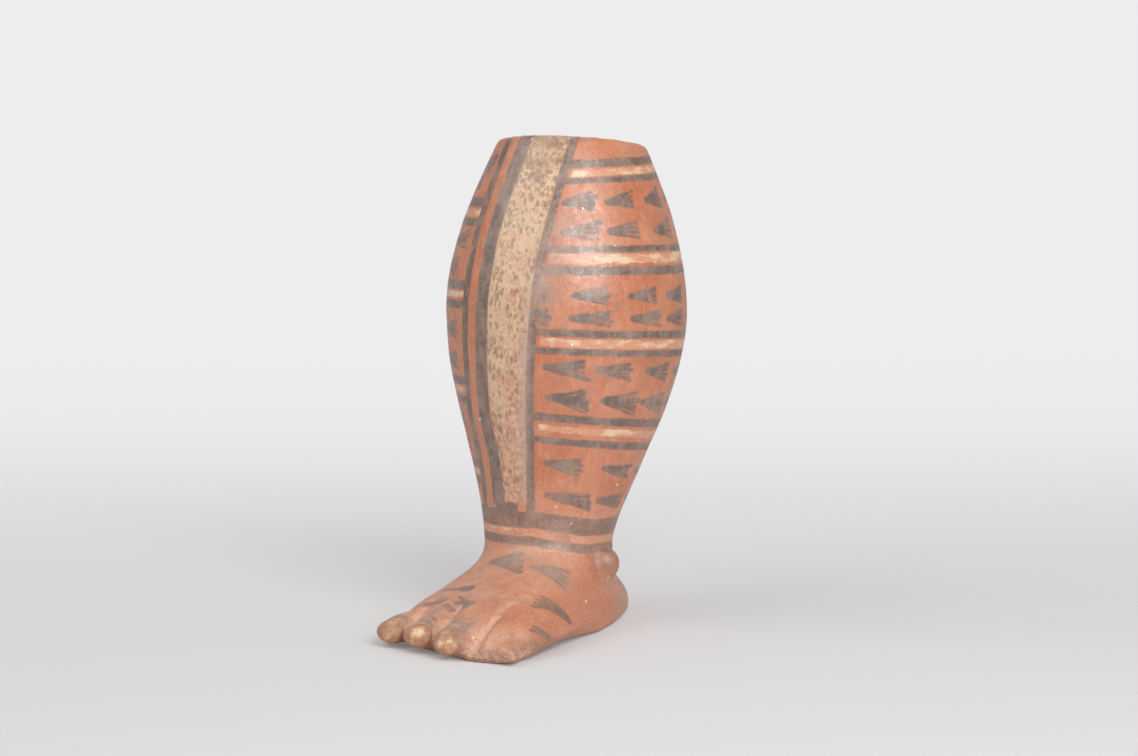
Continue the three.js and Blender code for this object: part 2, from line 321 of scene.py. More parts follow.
# The arch of the foot, where the sole's edge on the big toe's side draws in and up: its middle and
# half length along the foot, its height, where across the foot it starts and is whole, and how far
# the clay goes.
ARCH = (-62, 46, 8, (14, 28), (-4.6, 0, 2.2))
# How far below the lip it is nicked, and the level of the pattern of nicks and chips that leaves the
# clay in place.
LIP_NICKED = 2.5
CHIP_LEVEL = 0.55
# Clay lower than this is pressed flat on the ground.
FLAT_BELOW = 0.5


def tint(red, green, blue):
    """A display colour, from 0 to 255, as the light values that a colour socket holds."""
    def light(value):
        share = value / 255
        if share <= 0.04045:
            return share / 12.92
        return ((share + 0.055) / 1.055) ** 2.4
    return (light(red), light(green), light(blue), 1.0)


def length(name, description, default):
    """A size that a user can change."""
    return FloatProperty(name=name, description=description, default=default, unit="LENGTH",
                         precision=5, min=0.0)


def strokes(name, description, default):
    """A number of strokes of the hand that a user can change."""
    return IntProperty(name=name, description=description, default=default, min=0)


def colour(name, description, default):
    """A colour that a user can change."""
    return FloatVectorProperty(name=name, description=description, default=default,
                               subtype="COLOR", size=4, min=0.0, max=1.0)


class VesselClay(bpy.types.PropertyGroup):
    """Sizes of the worked clay"""
    grain: length("Grain", "Size of the finest facets of the clay", 1.05 * MM)
    weld: length("Weld", "Widest seam that is closed when the walls are joined", 0.4 * MM)
    closing: length("Closing", "How far the clay swells and draws back to fill a luted seam", 0.7 * MM)
    lap: length("Lap", "How far the foot's wall reaches down into the sole", 4 * MM)
    smoothing: strokes("Smoothing", "Strokes of the wet hand over the joins", 8)
    toe_smoothing: strokes("Toe smoothing", "More of them over the toes", 7)
    groove_smoothing: strokes("Groove smoothing", "More of them between the toes", 5)
    knob_smoothing: strokes("Knob smoothing", "More of them round an ankle knob", 24)
    wearing: strokes("Wearing", "More of them over the broken toes", 3)
    last_smoothing: strokes("Last smoothing", "The last of them over all the clay", 2)
    nail_smoothing: strokes("Nail smoothing", "Strokes over a toenail", 10)
    sole_share: FloatProperty(name="Sole share", description="Height of the seam above the sole, "
                              "as a share of the slab", default=0.7, min=0.1, max=1.0)
    waves: length("Waves", "Height of the long waves that the hands leave", 0.9 * MM)
    wave_size: length("Wave size", "Size of the long waves", 30 * MM)
    dents: length("Dents", "Height of the small dents of the surface", 0.22 * MM)
    dent_size: length("Dent size", "Size of the small dents", 7 * MM)
    nicks: length("Nicks", "Depth of the nicks along the lip", 0.7 * MM)
    nick_size: length("Nick size", "Size of the nicks", 5 * MM)
    chips: length("Chips", "Depth of the worn clay at the broken toes", 3.2 * MM)
    chip_size: length("Chip size", "Size of the worn hollows there", 3.2 * MM)
    crease: length("Crease", "Depth of the crease round an ankle knob", 0.12 * MM)
    knob_swell: length("Knob swell", "How far an ankle knob stands out further", 1.5 * MM)
    knob_smear: length("Knob smear", "Clay smeared under an ankle knob", 1.6 * MM)
    knob_collar: length("Knob collar", "Clay round an ankle knob that belongs to it", 1.6 * MM)
    nail_swell: length("Nail swell", "How far a toenail swells into its seat", 1.9 * MM)
    nail_sink: length("Nail sink", "How far a toenail is pressed into its toe", 2.0 * MM)
    nail_grain: length("Nail grain", "Size of the finest facets of a toenail", 0.35 * MM)


class VesselPaint(bpy.types.PropertyGroup):
    """Widths and colours of the slip and the paint"""
    border: length("Border", "Dark line beside the shin's strip, on the big toe's side", 4.3 * MM)
    side_border: length("Side border", "Dark line beside the strip, on the other side", 8.2 * MM)
    side_gap: length("Side gap", "Bare red line after the side border", 6 * MM)
    side_line: length("Side line", "Thin dark line after the gap", 5.2 * MM)
    back_gap: length("Back gap", "Half of the bare red line down the calf's back", 3 * MM)
    back_line: length("Back line", "Dark line on each side of that", 5 * MM)
    brush: length("Brush", "Half width of a brush stroke where it starts", 1.5 * MM)
    red: colour("Red slip", "Burnished red slip", tint(200, 127, 91))
    # Also laid as painted shade on the big toe's side of the foot, the heel and the knob.
    red_deep: colour("Deep red", "Red slip where it lies thick", tint(189, 107, 67))
    red_pale: colour("Pale red", "Red slip where it has rubbed thin", tint(214, 152, 119))
    dark: colour("Dark paint", "Dark grey-brown paint", tint(97, 82, 73))
    dark_pale: colour("Pale dark paint", "Dark paint where it has rubbed thin", tint(141, 122, 110))
    cream: colour("Cream paint", "Cream paint", tint(230, 202, 166))
    orange: colour("Orange wash", "Cream paint that the red shows through", tint(214, 150, 116))
    buff: colour("Buff", "Ground of the shin's strip", tint(208, 174, 138))
    blush: colour("Blush", "Reddish patches of the strip", tint(200, 146, 118))
    dab: colour("Dabs", "Brown dabs on the strip", tint(142, 107, 84))
    stain: colour("Stain", "Brownish stain on the slip", tint(154, 109, 88))
    # Greyish film, also laid as a painted sheen where the light catches the shin and the foot.
    film: colour("Film", "Greyish film over slip and paint", tint(178, 152, 138))
    # Also laid as a painted highlight on the big toe's front.
    bare: colour("Bare clay", "Worn clay without slip", tint(214, 172, 146))
    nail: colour("Nails", "Buff slip of the toenails", tint(186, 148, 114))
    inner: colour("Inner clay", "Clay of the inside", tint(172, 110, 84))
    speck: colour("Specks", "Pale grit in the clay", tint(244, 236, 220))


class VesselStage(bpy.types.PropertyGroup):
    """The camera, the lamps and the floor"""
    eye: FloatVectorProperty(name="Eye", description="Place of the camera", subtype="TRANSLATION",
                             size=3, default=(0.5810, -1.0705, 0.2400), precision=4)
    bearing: FloatProperty(name="Bearing", description="Turn of the camera round the vessel",
                           subtype="ANGLE", default=math.radians(28))
    dip: FloatProperty(name="Dip", description="How far the camera looks down", subtype="ANGLE",
                       default=math.radians(5.43))
    lens: FloatProperty(name="Lens", description="Focal length in millimetres", default=75.9, min=1)
    floor: colour("Floor", "Paper of the floor and the backdrop", tint(221, 220, 221))
    glow: colour("Glow", "Paper behind the vessel, as the eye sees it", tint(241, 240, 241))
    floor_width: length("Floor width", "Width of the paper", 14.0)
    floor_front: length("Floor front", "Paper in front of the vessel", 9.0)
    floor_back: length("Floor back", "Paper behind the vessel", 1.5)
    backdrop: length("Backdrop", "Height of the paper behind the vessel", 2.6)
    sweep: length("Sweep", "Round where the paper turns up", 0.9)
    key_power: FloatProperty(name="Key power", description="Power of the large lamp", default=18.5,
                             unit="POWER")
    fill_power: FloatProperty(name="Fill power", description="Power of the side lamp", default=9,
                              unit="POWER")
    sky: FloatProperty(name="Sky", description="Strength of the even light", default=0.42, min=0)


# Working by hand

def active():
    """The object that operators act on."""
    return bpy.context.view_layer.objects.active


def select_only(*objects):
    """Deselects all else and makes the first of these the active object."""
    bpy.ops.object.select_all(action="DESELECT")
    for item in objects:
        item.select_set(True)
    bpy.context.view_layer.objects.active = objects[0]


@contextmanager
def editing(select=None):
    """Edit mode on the active object, with all or nothing selected first where that is asked for."""
    bpy.ops.object.mode_set(mode="EDIT")
    if select:
        bpy.ops.mesh.select_all(action=select)
    yield
    bpy.ops.object.mode_set(mode="OBJECT")


def copy_of(*names):
    """One object that joins copies of these nodes, with their loose triangles merged."""
    select_only(*[frame["nodes"][name] for name in names])
    bpy.ops.object.duplicate()
    copies = list(bpy.context.selected_objects)
    for item in copies:
        item.parent = None
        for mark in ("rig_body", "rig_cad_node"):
            del item[mark]
    select_only(*copies)
    if len(copies) > 1:
        bpy.ops.object.join()
    with editing("SELECT"):
        bpy.ops.mesh.remove_doubles(threshold=MERGE)
    return active()


def modify(piece, kind, **settings):
    """Adds a modifier to a piece and applies it."""
    select_only(piece)
    bpy.ops.object.modifier_add(type=kind)
    modifier = piece.modifiers[-1]
    for name, value in settings.items():
        setattr(modifier, name, value)
    bpy.ops.object.modifier_apply(modifier=modifier.name)


def swell(piece, height):
    """Moves a mesh's surface out, or in where the height is below zero."""
    modify(piece, "DISPLACE", strength=height, mid_level=0.0)


def remesh(piece, grain):
    """Makes one even skin of all that a mesh holds."""
    modify(piece, "REMESH", mode="VOXEL", voxel_size=grain, use_smooth_shade=True)


def smooth(piece, count, group=""):
    """Strokes a mesh smooth, all over or in a vertex group."""
    modify(piece, "SMOOTH", factor=HAND_FORCE, iterations=count, vertex_group=group)


def points_of(piece):
    """The places of a mesh's points, in millimetres."""
    flat = np.empty(3 * len(piece.data.vertices))
    piece.data.vertices.foreach_get("co", flat)
    return flat.reshape(-1, 3) / MM


def normals_of(piece):
    """The directions in which a mesh's points face."""
    flat = np.empty(3 * len(piece.data.vertices))
    piece.data.vertex_normals.foreach_get("vector", flat)
    return flat.reshape(-1, 3)


def box_of(node):
    """The two far corners of a node's box, in millimetres."""
    return [np.array(corner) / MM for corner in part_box(node)]


def place_points(piece, points):
    """Moves a mesh's points to these places, in millimetres."""
    piece.data.vertices.foreach_set("co", (points * MM).ravel())
    piece.data.update()


def push(piece, lift):
    """Moves a mesh's points out along their normals, each by its own lift in millimetres."""
    place_points(piece, points_of(piece) + normals_of(piece) * lift[:, None])


def clamped(values):
    """Values held between 0 and 1."""
    return np.clip(values, 0, 1)


def eased(values):
    """Values held between 0 and 1 that rise and settle softly."""
    share = clamped(values)
    return share * share * (3 - 2 * share)


def distance(points, spot):
    """How far each point lies from a spot."""
    return np.linalg.norm(points - spot, axis=1)


def share_along(points, start, end):
    """How far along a line from start to end each point lies, from 0 to 1."""
    run = np.subtract(end, start)
    return clamped((points - start) @ run / (run @ run))


def stroke_depth(points, start, end, start_half, end_half, normals=None):
    """How deep each point lies in a stroke that runs from start to end, negative outside it. With
    normals, the stroke is laid on the surface and need not touch it."""
    share = share_along(points, start, end)
    gap = points - start - share[:, None] * np.subtract(end, start)
    if normals is not None:
        lift = (gap * normals).sum(axis=1)
        gap = gap - normals * np.clip(lift, -STROKE_LIFT, STROKE_LIFT)[:, None]
    return start_half + (end_half - start_half) * share - np.linalg.norm(gap, axis=1)


def between(value, low, high):
    """How deep a value lies between two limits."""
    return np.minimum(value - low, high - value)


# Forming the clay

def join_walls(clay):
    """The foot, the courses of the leg and the rim as one smooth wall."""
    walls = copy_of(*WALLS)
    with editing("SELECT"):
        bpy.ops.mesh.remove_doubles(threshold=clay.weld)
        bpy.ops.mesh.select_mode(type="FACE")
        bpy.ops.mesh.select_all(action="DESELECT")
        bpy.ops.mesh.select_interior_faces()
        bpy.ops.mesh.delete(type="FACE")
        bpy.ops.mesh.select_all(action="SELECT")
        bpy.ops.mesh.tris_convert_to_quads(face_threshold=1.0, shape_threshold=1.0)
        bpy.ops.mesh.select_all(action="DESELECT")
    low = min(point.co.z for point in walls.data.vertices) + clay.weld
    for face in walls.data.polygons:
        face.select = all(walls.data.vertices[i].co.z < low for i in face.vertices)
    with editing():
        bpy.ops.mesh.extrude_region_move(TRANSFORM_OT_translate={"value": (0, 0, -clay.lap)})
    modify(walls, "SUBSURF", levels=2, render_levels=2)
    return walls


def weigh(piece, name, weights):
    """A vertex group with a weight for each point."""
    group = piece.vertex_groups.new(name=name)
    for index in np.nonzero(weights > LEAST_WEIGHT)[0]:
        group.add([int(index)], float(weights[index]), "REPLACE")


def ripple(piece, name, size, height, middle=0.5, group=""):
    """Pushes a mesh in and out by a cloud pattern."""
    texture = bpy.data.textures.new(name, "CLOUDS")
    texture.noise_scale = size
    texture.noise_depth = 2
    modify(piece, "DISPLACE", texture=texture, texture_coords="LOCAL", strength=height,
           mid_level=middle, vertex_group=group)


def work_toes(piece):
    """Raises the ridges of the toes and presses the grooves between them."""
    for start, end, half, height in TOE_WORK:
        points = points_of(piece)
        near = stroke_depth(points, start, end, half, half, normals_of(piece)) / half
        push(piece, height * (1 - share_along(points, start, end) ** 2) * eased(near))


def draw_corner(piece):
    """Draws the sole's front corner out to a point."""
    place, reach, draw = CORNER
    points = points_of(piece)
    near = clamped(1 - distance(points, place) / reach)
    place_points(piece, points + near[:, None] * draw)


def draw_arch(piece):
    """Draws the sole's edge in and up under the arch of the foot."""
    middle, reach, height, (start, whole), draw = ARCH
    points = points_of(piece)
    x, y, z = points.T
    near = clamped(1 - ((y - middle) / reach) ** 2) ** 2 * clamped(1 - z / height)
    near *= clamped((x - start) / (whole - start))
    place_points(piece, points + near[:, None] * draw)


def ring_gap(points, knob):
    """How far each point lies outside the ring at an ankle knob's foot, negative inside."""
    low, high = box_of(knob)
    return distance(points, (low + high) / 2) - (high[2] - low[2]) / 2 - KNOB_RING


def work_knobs(piece, clay):
    """Swells each ankle knob, presses a crease round it, smears clay under it and blends its foot."""
    for knob in KNOBS:
        points = points_of(piece)
        gap = ring_gap(points, knob)
        low, high = box_of(knob)
        bottom = (*(low + high)[:2] / 2, low[2])
        lift = clay.knob_swell * clamped(-gap / KNOB_SLOPE)
        lift -= clay.crease * eased(1 - np.abs(gap) / KNOB_CREASE)
        lift += clay.knob_smear * eased(1 - distance(points, bottom) / KNOB_SMEAR_REACH)
        push(piece, lift / MM)
    points = points_of(piece)
    feet = [1 - np.abs(ring_gap(points, knob)) / KNOB_BLEND for knob in KNOBS]
    weigh(piece, "knob_feet", np.maximum(*feet))
    smooth(piece, clay.knob_smoothing, "knob_feet")


def share_in(points, marks, normals=None):
    """From 0 to 1, how far each point lies in the nearest of some strokes, with soft edges."""
    share = np.zeros(len(points))
    for start, end, half in marks:
        depth = stroke_depth(points, start, end, half, half, normals)
        share = np.maximum(share, depth / (SOFT_EDGE * half) + 0.5)
    return clamped(share)


class VESSEL_OT_form_clay(bpy.types.Operator):
    """Join copies of all the clay pieces into one blank and smooth over their luted seams"""
    bl_idname = "vessel.form_clay"
    bl_label = "Form the clay"

    def execute(self, context):
        clay = context.scene.vessel_clay
        walls = join_walls(clay)
        sole = copy_of("sole_slab")
        modify(sole, "SUBSURF", levels=2, render_levels=2)
        luted = copy_of(*TOES, *KNOBS)
        select_only(walls, sole, luted)
        bpy.ops.object.join()
        blank = active()
        blank.name = BLANK
        blank.data.materials.clear()
        swell(blank, clay.closing)
        remesh(blank, clay.grain)
        swell(blank, -clay.closing)
        smooth(blank, clay.smoothing)
        self.form_toes(blank, clay)
        draw_corner(blank)
        draw_arch(blank)
        work_knobs(blank, clay)
        self.weather(blank, clay)
        smooth(blank, clay.last_smoothing)
        points = points_of(blank)
        points[points[:, 2] < FLAT_BELOW, 2] = 0
        place_points(blank, points)
        return {"FINISHED"}

    def form_toes(self, blank, clay):
        """Blends the toes into the foot, wears the broken ones down and works ridges and grooves."""
        x, y, z = points_of(blank).T
        toes = clamped((TOE_LINE - y) / TOE_FADE) * (z < TOE_TOP)
        weigh(blank, "toes", toes)
        smooth(blank, clay.toe_smoothing, "toes")
        weigh(blank, "stumps", toes * clamped((x - STUMP_LINE) / STUMP_FADE))
        smooth(blank, clay.wearing, "stumps")
        work_toes(blank)
        smooth(blank, clay.toe_smoothing, "toes")
        grooves = [work[:3] for work in TOE_WORK if work[3] < 0]
        weigh(blank, "grooves", share_in(points_of(blank), grooves))
        smooth(blank, clay.groove_smoothing, "grooves")

    def weather(self, blank, clay):
        """The waves and dents of hand work, the nicks of the lip and the wear of the broken toes."""
        ripple(blank, "hand_waves", clay.wave_size, clay.waves)
        ripple(blank, "dents", clay.dent_size, clay.dents)
        points = points_of(blank)
        weigh(blank, "lip", near_lip(points, LIP_NICKED))
        ripple(blank, "nicks", clay.nick_size, clay.nicks, CHIP_LEVEL, "lip")
        weigh(blank, "worn", share_in(points, WORN_STROKES))
        ripple(blank, "chips", clay.chip_size, clay.chips, CHIP_LEVEL, "worn")


def rim_seam():
    """A point of the rim's lower seam, and the direction that the rim faces."""
    points = points_of(frame["nodes"]["rim_coil"])
    middle = points[:, 1].mean()
    front = points[points[:, 1] < middle]
    back = points[points[:, 1] > middle]
    front_low = front[front[:, 2].argmin()]
    back_low = back[back[:, 2].argmin()]
    fall = (front_low[2] - back_low[2]) / (back_low[1] - front_low[1])
    return Vector((0, front_low[1], front_low[2])) * MM, Vector((0, fall, 1)).normalized()


def near_lip(points, reach):
    """From 0 to 1, how near each point lies to the lip, from a reach below it."""
    facing = rim_seam()[1]
    low, high = box_of("rim_coil")
    lip = high[2] - facing.y / facing.z * (points[:, 1] - low[1])
    return clamped((points[:, 2] - lip) / reach + 1)


# Cutting the pieces apart

def cut_from(source, name, planes):
    """Copies a mesh and keeps what lies behind every plane, closed at each cut."""
    select_only(source)
    bpy.ops.object.duplicate()
    piece = active()
    piece.name = name
    with editing():
        for corner, facing in planes:
            bpy.ops.mesh.select_all(action="SELECT")
            bpy.ops.mesh.bisect(plane_co=corner, plane_no=facing, use_fill=True, clear_outer=True)
    if not piece.data.polygons:
        raise RuntimeError(f"nothing is left of {name}")
    return piece


def flipped(plane):
    """The same plane, seen from its other side."""
    return plane[0], -plane[1]


def level(node):
    """A level plane through the bottom of a node, facing up."""
    return Vector((0, 0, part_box(node)[0].z)), Vector((0, 0, 1))


def sole_seam():
    """A level plane through the sole's slab, below the floor of the hollow, facing up."""
    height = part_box("sole_slab")[1].z * bpy.context.scene.vessel_clay.sole_share
    return Vector((0, 0, height)), Vector((0, 0, 1))


def toe_front():
    """An upright plane through the middles of the outer toes, facing forward."""
    little = sum(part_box(TOES[0]), Vector()) / 2
    big = sum(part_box(TOES[-1]), Vector()) / 2
    run = big - little
    return little, Vector((run.y, -run.x, 0)).normalized()


def toe_sides():
    """Upright planes between neighbouring toes, facing the big toe's side."""
    boxes = [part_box(name) for name in TOES]
    return [
        (Vector(((near[1].x + far[0].x) / 2, 0, 0)), Vector((1, 0, 0)))
        for near, far in zip(boxes, boxes[1:])
    ]


def ball_round(node, collar):
    """A ball round an ankle knob."""
    low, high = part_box(node)
    bpy.ops.object.select_all(action="DESELECT")
    bpy.ops.mesh.primitive_ico_sphere_add(
        subdivisions=5, radius=(high.z - low.z) / 2 + collar, location=(low + high) / 2)
    bpy.ops.object.transform_apply(location=True, rotation=False, scale=False)
    return active()


def carve(piece, cutter, operation):
    """Cuts a piece with another mesh."""
    modify(piece, "BOOLEAN", object=cutter, operation=operation, solver="MANIFOLD")


def set_in_place(piece, node, material):
    """Gives a piece its material and sets it in its node's place."""
    piece.data.materials.clear()
    piece.data.materials.append(material)
    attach(piece, BODY)
    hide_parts(node)


def finish(piece, node):
    """Paints a piece of the blank and sets it in its node's place."""
    piece.vertex_groups.clear()
    paint(piece)
    select_only(piece)
    bpy.ops.object.shade_smooth_by_angle(angle=EDGE_ANGLE)
    set_in_place(piece, node, bpy.data.materials.get("painted_clay") or painted_clay())


class VESSEL_OT_cut_sole(bpy.types.Operator):
    """Cut the sole from the blank"""
    bl_idname = "vessel.cut_sole"
    bl_label = "Sole"

    def execute(self, context):
        blank = bpy.data.objects[BLANK]
        sole = cut_from(blank, "sole_clay", [sole_seam(), toe_front()])
        finish(sole, "sole_slab")
        return {"FINISHED"}


class VESSEL_OT_cut_foot(bpy.types.Operator):
    """Cut the foot and its two ankle knobs from the blank"""
    bl_idname = "vessel.cut_foot"
    bl_label = "Foot and ankle knobs"

    def execute(self, context):
        blank = bpy.data.objects[BLANK]
        clay = context.scene.vessel_clay
        planes = [level("lower_leg_wall"), flipped(sole_seam()), toe_front()]
        foot = cut_from(blank, "foot_clay", planes)
        for node in KNOBS:
            ball = ball_round(node, clay.knob_collar)
            knob = cut_from(foot, node.replace("knob", "clay"), [])
            carve(knob, ball, "INTERSECT")
            carve(foot, ball, "DIFFERENCE")
            bpy.data.objects.remove(ball)
            finish(knob, node)
        finish(foot, "foot_shell")
        return {"FINISHED"}


class VESSEL_OT_cut_leg(bpy.types.Operator):
    """Cut the two courses of the leg and the rim from the blank"""
    bl_idname = "vessel.cut_leg"
    bl_label = "Leg and rim"

    def execute(self, context):
        blank = bpy.data.objects[BLANK]
        ankle = level("lower_leg_wall")
        calf = level("upper_leg_wall")
        seam = rim_seam()
        courses = (
            ("lower_leg_clay", "lower_leg_wall", [flipped(ankle), calf]),
            ("upper_leg_clay", "upper_leg_wall", [flipped(calf), seam]),
            ("rim_clay", "rim_coil", [flipped(seam)]),
        )
        for name, node, planes in courses:
            finish(cut_from(blank, name, planes), node)
        return {"FINISHED"}


class VESSEL_OT_cut_toes(bpy.types.Operator):
    """Cut the five toes from the blank"""
    bl_idname = "vessel.cut_toes"
    bl_label = "Toes"

    def execute(self, context):
        planes = [flipped(toe_front()), level("lower_leg_wall")]
        front = cut_from(bpy.data.objects[BLANK], "toe_row", planes)
        sides = toe_sides()
        for index, node in enumerate(TOES):
            planes = [flipped(side) for side in sides[max(0, index - 1):index]]
            planes += sides[index:index + 1]
            finish(cut_from(front, node + "_clay", planes), node)
        bpy.data.objects.remove(front)
        return {"FINISHED"}


class VESSEL_OT_press_nails(bpy.types.Operator):
    """Press a toenail on each whole toe"""
    bl_idname = "vessel.press_nails"
    bl_label = "Toenails"

    def execute(self, context):
        clay = context.scene.vessel_clay
        for toe in NAILED:
            node = toe + "nail"
            nail = copy_of(node)
            nail.name = toe + "_nail"
            seat = self.seat(nail, clay.nail_sink)
            with editing("SELECT"):
                bpy.ops.transform.translate(value=seat)
            swell(nail, clay.nail_swell)
            remesh(nail, clay.nail_grain)
            smooth(nail, clay.nail_smoothing)
            points = points_of(nail)
            reach = distance(points, points.mean(axis=0))
            write_layer(nail, "edge", reach / reach.max())
            set_in_place(nail, node, bpy.data.materials.get("nail_slip") or nail_slip())
        return {"FINISHED"}

    def seat(self, nail, sink):
        """How far a toenail has to move to lie in the clay of its toe."""
        points = points_of(nail) * MM
        middle = Vector((points.min(axis=0) + points.max(axis=0)) / 2)
        found, spot, facing, _ = bpy.data.objects[BLANK].closest_point_on_mesh(middle)
        if not found:
            raise RuntimeError(f"{nail.name} has no toe to lie on")
        return spot - facing * sink - middle


# Painting

def leg_axis():
    """Heights up the leg, and how far back the leg's middle lies at each."""
    points = np.concatenate([points_of(frame["nodes"][name]) for name in WALLS[1:]])
    heights = np.arange(points[:, 2].min(), points[:, 2].max(), AXIS_STEP)
    middles = []
    for height in heights:
        ring = points[np.abs(points[:, 2] - height) < AXIS_REACH]
        middles.append((ring[:, 1].min() + ring[:, 1].max()) / 2)
    return heights, np.array(middles)


AXIS = leg_axis()


class Brushwork:
    """Fans of brush strokes: how deep each point lies in the nearest fan, and how far along it and
    aside in it, as shares of its length and of its half width there."""

    def __init__(self, count):
        self.depth = np.full(count, FAR)
        self.along = np.zeros(count)
        self.aside = np.zeros(count)

    def lay(self, depth, along, aside):
        """Adds a fan."""
        nearer = depth > self.depth
        self.depth = np.where(nearer, depth, self.depth)
        self.along = np.where(nearer, clamped(along), self.along)
        self.aside = np.where(nearer, aside / np.clip(along, FAN_NARROWEST, 1), self.aside)


def brushed_fan(along, aside, lengths, spread, share, brush):
    """How deep each point lies in a fan of brush strokes of these lengths that start at one point."""
    depth = np.full(len(along), FAR)
    near = (between(along, 0, max(lengths)) > -FAN_MARGIN) & (np.abs(aside) < spread)
    flat = np.stack([along[near], aside[near]], axis=1)
    tip = share * spread / (2 * len(lengths))
    ends = np.linspace(-1, 1, len(lengths)) * (spread / 2 - tip)
    for end in zip(lengths, ends):
        depth[near] = np.maximum(depth[near], stroke_depth(flat, (0, 0), end, brush, tip))
    return depth


def paint_fans(fans, turn, radius, height, rows, limit, brush, chance):
    """Rows of brushed fans, each at its own height, as far round as the limit lets them go."""
    for level_height, firsts, pitch, size, spread in rows:
        tilt = np.interp(level_height, *zip(*FAN_TILT))
        starts = list(firsts)
        while abs(starts[-1] + pitch) < FAN_END:
            starts.append(starts[-1] + pitch)
        for start in starts:
            long = size * chance.uniform(*FAN_LENGTHS)
            wide = spread * chance.uniform(*FAN_SPREADS)
            count = chance.integers(*FINGER_COUNTS, endpoint=True)
            lengths = long * chance.uniform(*FINGER_LENGTHS, count)
            share = chance.uniform(*FINGER_SHARES)
            along = np.radians(turn - start) * radius
            aside = height - level_height - tilt * along
            depth = brushed_fan(along, aside, lengths, wide, share, brush)
            fans.lay(np.minimum(depth, limit), along / long, aside / (wide / 2))


def drifted_height(turn, height):
    """The height at which a painted line that passes here crosses the front of the leg."""
    drift = np.interp(height, *zip(*DRIFT))
    away = np.minimum(np.abs(turn - DRIFT_FROM), DRIFT_END)
    away = np.where(turn < DRIFT_FROM, away * LEFT_DRIFT, away)
    lift = np.interp(turn, *zip(*ANKLE_LIFT)) * clamped((ANKLE_TOP - height) / ANKLE_FADE)
    return height - drift * away - lift


def bands_depth(height, groups):
    """How deep each point lies in level bands, each group of them held within its own panel."""
    depth = np.full(len(height), FAR)
    for bands, panel in groups:
        for middle, width in bands:
            depth = np.maximum(depth, np.minimum(width / 2 - np.abs(height - middle), panel))
    return depth


def paint_leg(points, settings, fans):
    """Depths of the dark lines, of the cream paint and of the shin's strip on the leg, and the
    share of the greyish haze and painted sheen over them. The fans are laid too."""
    x, y, z = points.T
    back = y - np.interp(z, *AXIS)
    radius = np.hypot(x, back)
    turn = np.degrees(np.arctan2(x, -back))
    height = drifted_height(turn, z)
    heights, middles, widths = zip(*SHIN_STRIP)
    across = np.radians(turn) * radius - np.interp(z, heights, middles)
    half = np.interp(z, heights, widths) / 2
    right = across - half
    left = -across - half
    rear = np.radians(180 - np.abs(turn)) * radius
    above = height - ANKLE_DARK[0][0]
    strip = np.minimum(between(across, -half, half), height - STRIP_FOOT)

    border = settings.border / MM
    line_start = (settings.side_border + settings.side_gap) / MM
    line_end = line_start + settings.side_line / MM
    back_start = settings.back_gap / MM
    uprights = (
        between(right, 0, border),
        between(left, 0, settings.side_border / MM),
        between(left, line_start, line_end),
        between(rear, back_start, back_start + settings.back_line / MM),
        np.minimum(between(across, -half, half - STRIP_FOOT_GAP), STRIP_FOOT - height),
    )
    right_panel = np.min([right - border / 2, rear - back_start, above], axis=0)
    left_panel = np.min([left - line_start, rear - back_start, above], axis=0)
    everywhere = np.full(len(points), -FAR)
    dark = np.minimum(np.max(uprights, axis=0), above)
    dark = np.maximum(dark, bands_depth(height, (
        (RIGHT_DARK, right_panel), (LEFT_DARK, left_panel), (ANKLE_DARK, everywhere))))
    cream = bands_depth(height, (
        (RIGHT_CREAM, right_panel - border),
        (LEFT_CREAM, left_panel - line_end + line_start),
        (ANKLE_CREAM, CREAM_FADE * left),
    ))
    chance = np.random.default_rng(FAN_SEED)
    for rows, panel in ((RIGHT_FANS, right_panel), (LEFT_FANS, left_panel)):
        paint_fans(fans, turn, radius, height, rows, panel, settings.brush / MM, chance)
    # Greyish haze beside the strip, partly a painted sheen.
    film = np.zeros(len(points))
    for middle, reach, low, high in SHIN_FILMS_AND_SHEENS:
        share = clamped(1 - np.abs(right - middle) / reach)
        film = np.maximum(film, share * clamped(between(z, low, high) / FILM_AND_SHEEN_FADE))
    return dark, cream, strip, film


def paint_foot(points, normals, settings, fans):
    """Depth of the dark strokes on the foot. Its fans are laid too."""
    brush = settings.brush / MM
    for *corners, fingers in FOOT_FANS:
        start, corner, other = np.array(corners)
        tip = FOOT_FINGER_SHARE * np.linalg.norm(other - corner) / (2 * fingers)
        depth = np.full(len(points), FAR)
        for finger in range(fingers):
            end = corner + (other - corner) * (finger + 0.5) / fingers
            depth = np.maximum(depth, stroke_depth(points, start, end, brush, tip, normals))
        run = (corner + other) / 2 - start
        half = (other - corner) / 2
        along = (points - start) @ run / (run @ run)
        aside = (points - start - along[:, None] * run) @ half / (half @ half)
        fans.lay(depth, along, aside)
    dark = np.full(len(points), FAR)
    for start, end, half in FOOT_STROKES:
        dark = np.maximum(dark, stroke_depth(points, start, end, half * STROKE_TAPER, half, normals))
    return dark


def write_layer(piece, name, values):
    """A value for each point of a mesh, for its material to read."""
    layer = piece.data.attributes.new(name, "FLOAT", "POINT")
    layer.data.foreach_set("value", values.astype(np.float32))


